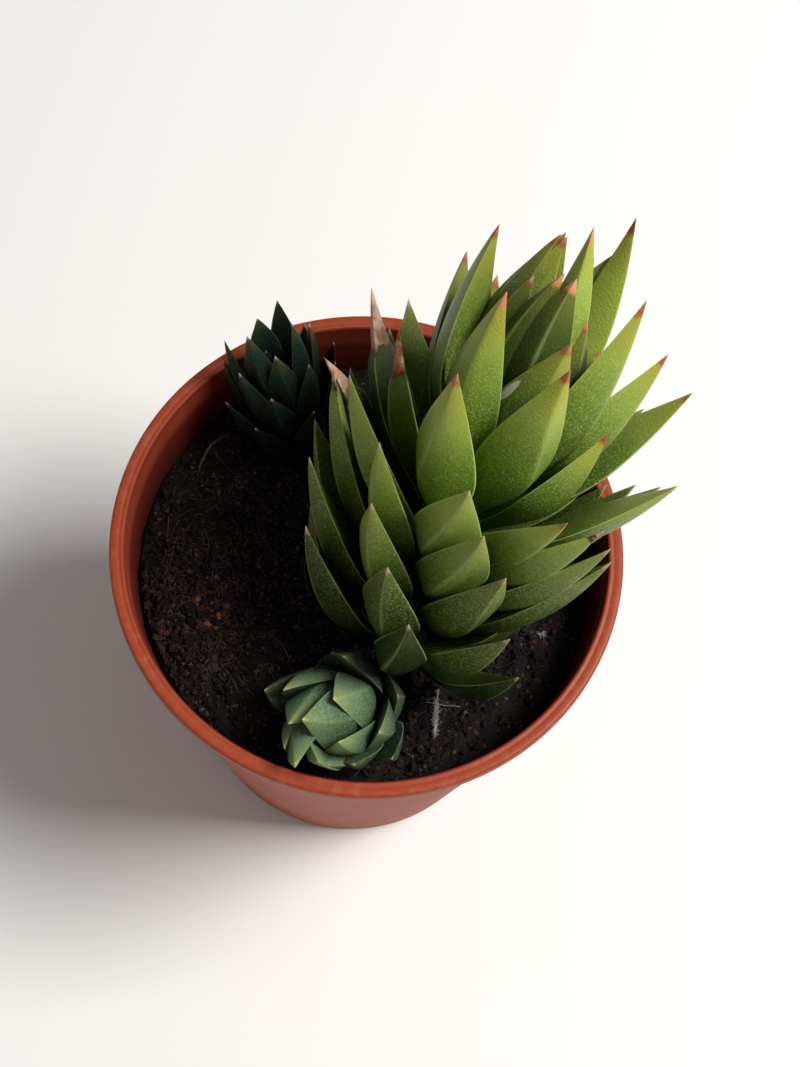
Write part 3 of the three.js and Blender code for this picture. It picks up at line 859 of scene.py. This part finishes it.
class HAWORTHIA_OT_pot(bpy.types.Operator):
    """Make the pot: a turned wall with a grooved lip and a foot, with drain holes cut through"""
    bl_idname = "haworthia.pot"
    bl_label = "Make the pot"

    def execute(self, context):
        look = context.scene.haworthia_pot
        count = look.segments
        body = self.section()
        angle = np.linspace(0, 2 * np.pi, count, endpoint=False)
        points = np.stack([body[:, :1] * np.cos(angle), body[:, :1] * np.sin(angle),
                           np.repeat(body[:, 1:], count, axis=1)], axis=-1).reshape(-1, 3)
        points = np.concatenate([points, [[0, 0, 0], [0, 0, FLOOR_TOP]]])
        sides, fans = tube_faces(len(body), count)
        material = pot_plastic(look)
        piece = make_piece("pot_moulding", points, [sides, fans], {}, [material], ("pot",))
        self.drill(context, piece)
        self.mark(piece.data)
        return {"FINISHED"}

    def section(self):
        """The wall's section as radii and heights, from the centre pad out to the foot, up over
        the lip and down the inside to the floor"""
        foot_inside = FOOT_RADIUS - FOOT_RING
        points = [(CENTRE_PAD, 0), (CENTRE_PAD + PAD_EDGE[0], PAD_EDGE[1]),
                  (CENTRE_PAD + FOOT_RECESS, FOOT_RECESS), (foot_inside - FOOT_RECESS, FOOT_RECESS),
                  (foot_inside - RING_EDGE[0], RING_EDGE[1]), (foot_inside, 0)]
        points += [(FOOT_RADIUS - inward, up) for inward, up in FOOT_EDGE]
        outside = np.linspace(WALL_FROM, UNDER_LIP - UNDER_LIP_GAP, WALL_STEPS)
        points += [(wall_radius(z), z) for z in outside]
        points += [(wall_radius(UNDER_LIP) + UNDER_LIP_STEP, UNDER_LIP)]
        quarter = np.radians(np.linspace(0, 90, LIP_STEPS))
        r = LIP_LOWER_ROUND
        for a in quarter:
            points.append((RIM_RADIUS - r + r * math.sin(a), UNDER_LIP + r - r * math.cos(a)))
        r = LIP_OUTER_ROUND
        for a in quarter:
            points.append((RIM_RADIUS - r + r * math.cos(a), POT_HEIGHT - r + r * math.sin(a)))
        groove = RIM_RADIUS - LIP_WIDTH * GROOVE_SHARE
        for aside, depth in GROOVE_FORM:
            points.append((groove + aside, POT_HEIGHT - GROOVE_DEPTH * depth))
        inner = RIM_RADIUS - LIP_WIDTH
        r = LIP_INNER_ROUND
        for a in quarter:
            points.append((inner + r - r * math.sin(a), POT_HEIGHT - r + r * math.cos(a)))
        inside = np.linspace(UNDER_LIP, FLOOR_TOP + FLOOR_FILLET, WALL_STEPS)
        points += [(inner_radius(z), z) for z in inside]
        points += [(inner_radius(FLOOR_TOP) - inward, FLOOR_TOP + up) for inward, up in FLOOR_EDGE]
        return np.array(points)

    def drill(self, context, piece):
        """Cuts the drain holes and keeps the cut mesh as the piece's own"""
        cutters = []
        for k in range(DRAIN_COUNT):
            a = 2 * math.pi * k / DRAIN_COUNT
            bpy.ops.mesh.primitive_cylinder_add(
                vertices=DRAIN_SIDES, radius=DRAIN_RADIUS * MM, depth=DRILL_LENGTH * MM,
                location=(DRAIN_CIRCLE * MM * math.cos(a), DRAIN_CIRCLE * MM * math.sin(a), 0))
            cutters.append(context.object)
        with context.temp_override(active_object=cutters[0], selected_editable_objects=cutters):
            bpy.ops.object.join()
        cut = piece.modifiers.new("drain_holes", "BOOLEAN")
        cut.object = cutters[0]
        cut.operation = "DIFFERENCE"
        graph = context.evaluated_depsgraph_get()
        mesh = bpy.data.meshes.new_from_object(piece.evaluated_get(graph))
        piece.modifiers.clear()
        old = piece.data
        piece.data = mesh
        bpy.data.meshes.remove(old)
        bpy.data.objects.remove(cutters[0])

    def mark(self, mesh):
        """Marks the lip and the inside for the material, and keeps the corners sharp"""
        co = np.empty(len(mesh.vertices) * 3, np.float32)
        mesh.vertices.foreach_get("co", co)
        co = co.reshape(-1, 3) / MM
        z = co[:, 2]
        r = np.hypot(co[:, 0], co[:, 1])
        lip = (z > UNDER_LIP - LIP_MARGIN) & (r > inner_radius(z) - LIP_MARGIN)
        inside = (r < wall_radius(z) - WALL / 2) & (z > FLOOR_TOP - FLOOR_MARGIN) & ~lip
        for key, values in (("lip", lip), ("inside", inside)):
            layer = mesh.attributes.new(key, "FLOAT", "POINT")
            layer.data.foreach_set("value", values.astype(np.float32))
        mesh.shade_smooth()
        mesh.set_sharp_from_angle(angle=math.radians(SHARP_ANGLE))


class HAWORTHIA_OT_compost(bpy.types.Operator):
    """Make the compost: a rough surface in the pot, loose crumbs, fibres and a little fluff"""
    bl_idname = "haworthia.compost"
    bl_label = "Make the compost"

    def execute(self, context):
        look = context.scene.haworthia_compost
        material = damp_compost()
        self.surface(material)
        self.crumbs(material, look.crumbs)
        self.fibres(look.fibres)
        self.litter(look.litter)
        self.fluff()
        return {"FINISHED"}

    def surface(self, material):
        """The compost as a closed body: straight under the surface, rough on top"""
        bottom = FLOOR_TOP + GAP
        top_radius = inner_radius(SOIL_LEVEL - EDGE_DIP) - GAP
        angle = np.linspace(0, 2 * np.pi, SURFACE_SIDES, endpoint=False)
        radii = top_radius * (1 - np.linspace(0, 1, SURFACE_RINGS + 1)[:-1])
        x = radii[:, None] * np.cos(angle)
        y = radii[:, None] * np.sin(angle)
        top = np.stack([x, y, soil_height(x, y)], axis=-1)
        low = inner_radius(bottom) - GAP - BOTTOM_INSET
        side = np.stack([low * np.cos(angle), low * np.sin(angle), 0 * angle + bottom], axis=-1)
        points = np.concatenate([side[None], top]).reshape(-1, 3)
        centre = soil_height(np.zeros(1), np.zeros(1))[0]
        points = np.concatenate([points, [[0, 0, bottom], [0, 0, centre]]])
        faces = tube_faces(SURFACE_RINGS + 1, SURFACE_SIDES)
        numbers = {"tone": np.full(len(points), SURFACE_TONE)}
        make_piece("compost", points, faces, numbers, [material], ("soil",))

    def crumbs(self, material, count):
        """Loose crumbs: twelve-cornered lumps with seeded sizes, turns and dents, most of them
        small, set over the surface evenly by area"""
        rng = np.random.default_rng(11)
        gold = (1 + 5 ** 0.5) / 2
        corners = [np.roll((a, b, 0), k) for k in range(3) for b in (gold, -gold) for a in (-1, 1)]
        corners = unit(np.array(corners))
        sides = np.array([(0, 11, 5), (0, 5, 1), (0, 1, 7), (0, 7, 10), (0, 10, 11), (1, 5, 9),
                          (5, 11, 4), (11, 10, 2), (10, 7, 6), (7, 1, 8), (3, 9, 4), (3, 4, 2),
                          (3, 2, 6), (3, 6, 8), (3, 8, 9), (4, 9, 5), (2, 4, 11), (6, 2, 10),
                          (8, 6, 7), (9, 8, 1)])
        radius = CRUMB_REACH * np.sqrt(rng.random(count))
        angle = rng.uniform(0, 2 * np.pi, count)
        x, y = radius * np.cos(angle), radius * np.sin(angle)
        heap = rng.random(count) < HEAP_SHARE
        x = np.where(heap, HEAP_X + HEAP_WIDTH * rng.normal(size=count), x)
        y = np.where(heap, HEAP_Y + HEAP_WIDTH * rng.normal(size=count), y)
        inward = np.minimum(CRUMB_LIMIT / np.hypot(x, y), 1)
        x, y = x * inward, y * inward
        size = drawn(rng, count, *CRUMB_SIZE)
        stretch = rng.uniform(*CRUMB_STRETCH, (count, 1, 3))
        dents = rng.uniform(*CRUMB_DENTS, (count, len(corners), 1))
        spin = np.linalg.qr(rng.normal(size=(count, 3, 3)))[0]
        spin[np.linalg.det(spin) < 0, :, 0] *= -1
        lumps = corners * dents * stretch * size[:, None, None]
        lumps = np.einsum("nij,nkj->nki", spin, lumps)
        place = np.stack([x, y, soil_height(x, y) + size * CRUMB_LIFT], axis=-1)
        points = (lumps + place[:, None]).reshape(-1, 3)
        faces = (sides + len(corners) * np.arange(count)[:, None, None]).reshape(-1, 3)
        near = np.exp(-((x - HEAP_X) ** 2 + (y - HEAP_Y) ** 2) / (2 * HEAP_WIDTH ** 2))
        tone = rng.random(count) * (CRUMB_TONE[0] + CRUMB_TONE[1] * near)
        tone = np.repeat(tone, len(corners))
        piece = make_piece("compost_crumbs", points, [faces], {"tone": tone}, [material])
        piece.data.shade_flat()

    def strands(self, name, x, y, lift, radius, material):
        """Thin closed tubes of four sides along lines of points that lie on the compost; x, y and
        lift have one row for each strand, and the radius tapers to the ends"""
        count, steps = x.shape
        line = np.stack([x, y, soil_height(x, y) + lift], axis=-1)
        way = unit(np.gradient(line, axis=1))
        across = unit(np.cross(way, [0.0, 0.0, 1.0]))
        up = np.cross(across, way)
        turn = np.radians([0, 90, 180, 270])
        swell = np.sin(np.linspace(0.05, 0.95, steps) * np.pi)
        taper = radius[:, None] * (STRAND_END + (1 - STRAND_END) * swell)
        ring = np.cos(turn)[:, None] * across[:, :, None] + np.sin(turn)[:, None] * up[:, :, None]
        body = line[:, :, None] + taper[:, :, None, None] * ring
        ends = np.stack([line[:, 0], line[:, -1]], axis=1)
        points = np.concatenate([body.reshape(count, -1, 3), ends], axis=1)
        sides, fans = tube_faces(steps, 4)
        first = (points.shape[1] * np.arange(count))[:, None, None]
        faces = [(sides + first).reshape(-1, 4), (fans + first).reshape(-1, 3)]
        return make_piece(name, points.reshape(-1, 3), faces, {}, [material])

    def fibres(self, count):
        """Loose coir fibres: short arcs with seeded places, ways, bends and lengths"""
        rng = np.random.default_rng(21)
        t = np.linspace(-0.5, 0.5, 11)
        r = FIBRE_REACH * np.sqrt(rng.random(count))
        angle = rng.uniform(0, 2 * np.pi, count)
        way = rng.uniform(0, 2 * np.pi, count)[:, None]
        length = drawn(rng, count, *FIBRE_LENGTH)[:, None]
        bend = rng.uniform(-FIBRE_BEND, FIBRE_BEND, count)[:, None]
        run = way + bend * t
        step = length / (len(t) - 1)
        x = (r * np.cos(angle))[:, None] + np.cumsum(np.cos(run) * step, axis=1)
        y = (r * np.sin(angle))[:, None] + np.cumsum(np.sin(run) * step, axis=1)
        keep = np.max(np.hypot(x, y), axis=1) < FIBRE_LIMIT
        lift = FIBRE_LIFT[0] + FIBRE_LIFT[1] * rng.random(count)[:, None] * (1 - (2 * t) ** 2)
        radius = rng.uniform(*FIBRE_RADIUS, count)
        material = dry_fibre("coir_fibre", 0x5E4634, 0x241811)
        self.strands("coir_fibres", x[keep], y[keep], lift[keep], radius[keep], material)
        arc = np.linspace(0, 1, 15)[None]
        x = ARCH_X[0] + ARCH_X[1] * arc ** ARCH_X[2]
        y = ARCH_Y[0] + ARCH_Y[1] * np.sin(arc * np.pi / 2)
        lift = ARCH_LIFT[0] + ARCH_LIFT[1] * np.sin(arc * np.pi)
        self.strands("arched_fibre", x, y, lift, np.array([ARCH_RADIUS]), material)

    def litter(self, count):
        """Shredded coir on the mound: short coarse strands that lie close together"""
        rng = np.random.default_rng(23)
        t = np.linspace(-0.5, 0.5, 5)
        across = rng.normal(0, 1, (count, 1))
        down = rng.normal(0, 1, (count, 1))
        x0 = MOUND["x"] + LITTER_SHIFT[0] + across * MOUND["along"] * LITTER_SPREAD[0]
        y0 = MOUND["y"] + LITTER_SHIFT[1] + down * MOUND["across"] * LITTER_SPREAD[1]
        run = rng.uniform(0, np.pi, (count, 1))
        run = run + rng.uniform(-LITTER_BEND, LITTER_BEND, (count, 1)) * t
        length = drawn(rng, (count, 1), *LITTER_LENGTH)
        x = x0 + length * t * np.cos(run)
        y = y0 + length * t * np.sin(run)
        keep = np.max(np.hypot(x, y), axis=1) < LITTER_LIMIT
        lift = rng.uniform(*LITTER_LIFT, (count, 1))
        lift = lift + rng.uniform(-LITTER_TILT, LITTER_TILT, (count, 1)) * t
        radius = rng.uniform(*LITTER_RADIUS, count)
        material = dry_fibre("shredded_coir", 0x483226, 0x120B08)
        self.strands("coir_litter", x[keep], y[keep], lift[keep], radius[keep], material)

    def fluff(self):
        """Pale fluff caught on the compost: fine threads along one slim streak, a thread across
        it, and a pale lump by the right-hand wall"""
        rng = np.random.default_rng(31)
        count = FLUFF_THREADS
        t = np.linspace(-0.5, 0.5, 7)
        u = rng.uniform(-1, 1, (count, 1))
        x0 = FLUFF_AT[0] + FLUFF_WAY[0] * u + rng.normal(0, FLUFF_WIDTH, (count, 1)) * (1.2 - u * u)
        y0 = FLUFF_AT[1] + FLUFF_WAY[1] * u
        run = np.pi / 2 + rng.normal(0, FLUFF_TURN, (count, 1))
        run = run + rng.uniform(-FLUFF_BEND, FLUFF_BEND, (count, 1)) * t
        length = rng.uniform(*FLUFF_LENGTH, (count, 1))
        x = x0 + length * t * np.cos(run)
        y = y0 + length * t * np.sin(run)
        lift = FLUFF_LIFT[0] + FLUFF_LIFT[1] * rng.random((count, 1)) * (1 - (2 * t) ** 2)
        material = dry_fibre("pale_fluff", 0xB8B4B0, 0x7A7672)
        self.strands("fluff", x, y, lift, np.full(count, FLUFF_RADIUS), material)
        line = t[None]
        x = THREAD_X[0] + THREAD_X[1] * (line + 0.5)
        y = THREAD_Y[0] + THREAD_Y[1] * line
        self.strands("thread", x, y, THREAD_LIFT + 0 * line, np.array([THREAD_RADIUS]), material)
        count = LUMP_THREADS
        x0 = LUMP_AT[0] + rng.normal(0, LUMP_WIDTH, (count, 1))
        y0 = LUMP_AT[1] + rng.normal(0, LUMP_WIDTH, (count, 1))
        run = rng.uniform(0, np.pi, (count, 1))
        x = x0 + LUMP_LENGTH * t * np.cos(run)
        y = y0 + LUMP_LENGTH * t * np.sin(run)
        lift = LUMP_LIFT[0] + LUMP_LIFT[1] * rng.random((count, 1)) + 0 * t
        self.strands("pale_lump", x, y, lift, np.full(count, LUMP_RADIUS), material)


class HAWORTHIA_OT_plants(bpy.types.Operator):
    """Make the tall leafy stem and the two offsets"""
    bl_idname = "haworthia.plants"
    bl_label = "Make the plants"

    def execute(self, context):
        look = context.scene.haworthia_leaf
        skin = leaf_skin("haworthia_skin_green", look, GREEN)
        make_plant(MAIN, look, skin)
        skin = leaf_skin("haworthia_skin_shaded", look, SHADED_GREEN)
        make_plant(BACK, look, skin)
        skin = leaf_skin("haworthia_skin_blue_green", look, BLUE_GREEN)
        make_plant(FRONT, look, skin)
        return {"FINISHED"}


class HAWORTHIA_OT_stage(bpy.types.Operator):
    """Make the floor, the lights and the camera. The pale paper floor stands for the photograph's
    white background and is no part of the object."""
    bl_idname = "haworthia.stage"
    bl_label = "Make the stage"

    def execute(self, context):
        bpy.ops.mesh.primitive_plane_add(size=FLOOR_SIZE)
        floor = context.object
        floor.name = "stage_floor"
        material, tree, shader, _ = new_material("pale_paper")
        fill(tree, shader, {"Base Color": linear(0xF2F0EC), "Roughness": 0.9})
        floor.data.materials.append(material)
        context.scene.view_settings.view_transform = "Standard"
        for name, at, size, power in LIGHTS:
            light = bpy.data.lights.new(name, "AREA")
            light.size = size
            light.energy = power
            lamp = bpy.data.objects.new(name, light)
            lamp.location = at
            way = np.array(LIGHT_AIM) - np.array(at)
            lamp.rotation_euler = (math.atan2(math.hypot(way[0], way[1]), -way[2]), 0,
                                   math.atan2(way[1], way[0]) - math.pi / 2)
            context.scene.collection.objects.link(lamp)
        world = bpy.data.worlds.new("studio")
        world.use_nodes = True
        sky = world.node_tree.nodes["Background"]
        fill(world.node_tree, sky, {"Color": linear(0xFFFFFF), "Strength": SKY_STRENGTH})
        context.scene.world = world
        camera = bpy.data.cameras.new("camera")
        camera.sensor_width = SENSOR
        camera.lens = FOCAL_PIXELS / PHOTO_SIZE[1] * SENSOR
        camera.clip_start = 0.01
        eye = bpy.data.objects.new("camera", camera)
        turn = Matrix.Rotation(math.radians(90 - CAMERA_PITCH), 4, "X")
        roll = Matrix.Rotation(math.radians(CAMERA_ROLL), 4, "Z")
        eye.matrix_world = Matrix.Translation(CAMERA_PLACE) @ turn @ roll
        context.scene.collection.objects.link(eye)
        context.scene.camera = eye
        return {"FINISHED"}


class HAWORTHIA_PT_panel(bpy.types.Panel):
    """Lists the steps that build the plant"""
    bl_label = "Potted haworthia"
    bl_idname = "HAWORTHIA_PT_panel"
    bl_space_type = "VIEW_3D"
    bl_region_type = "UI"
    bl_category = "Haworthia"

    def draw(self, context):
        scene = context.scene
        for group in (scene.haworthia_pot, scene.haworthia_leaf, scene.haworthia_compost):
            for key in group.__annotations__:
                self.layout.prop(group, key)
        for step in OPERATORS:
            self.layout.operator(step.bl_idname)


OPERATORS = (HAWORTHIA_OT_pot, HAWORTHIA_OT_compost, HAWORTHIA_OT_plants, HAWORTHIA_OT_stage)
CLASSES = (PotLook, LeafLook, CompostLook, *OPERATORS, HAWORTHIA_PT_panel)


def register():
    """Registers the classes and hangs the settings on the scene"""
    for kind in CLASSES:
        bpy.utils.register_class(kind)
    bpy.types.Scene.haworthia_pot = PointerProperty(type=PotLook)
    bpy.types.Scene.haworthia_leaf = PointerProperty(type=LeafLook)
    bpy.types.Scene.haworthia_compost = PointerProperty(type=CompostLook)


def unregister():
    """Takes the settings and the classes away again"""
    del bpy.types.Scene.haworthia_pot
    del bpy.types.Scene.haworthia_leaf
    del bpy.types.Scene.haworthia_compost
    for kind in reversed(CLASSES):
        bpy.utils.unregister_class(kind)


def main():
    """Builds everything"""
    register()
    bpy.ops.haworthia.pot()
    bpy.ops.haworthia.compost()
    bpy.ops.haworthia.plants()
    bpy.ops.haworthia.stage()


if __name__ == "__main__":
    main()
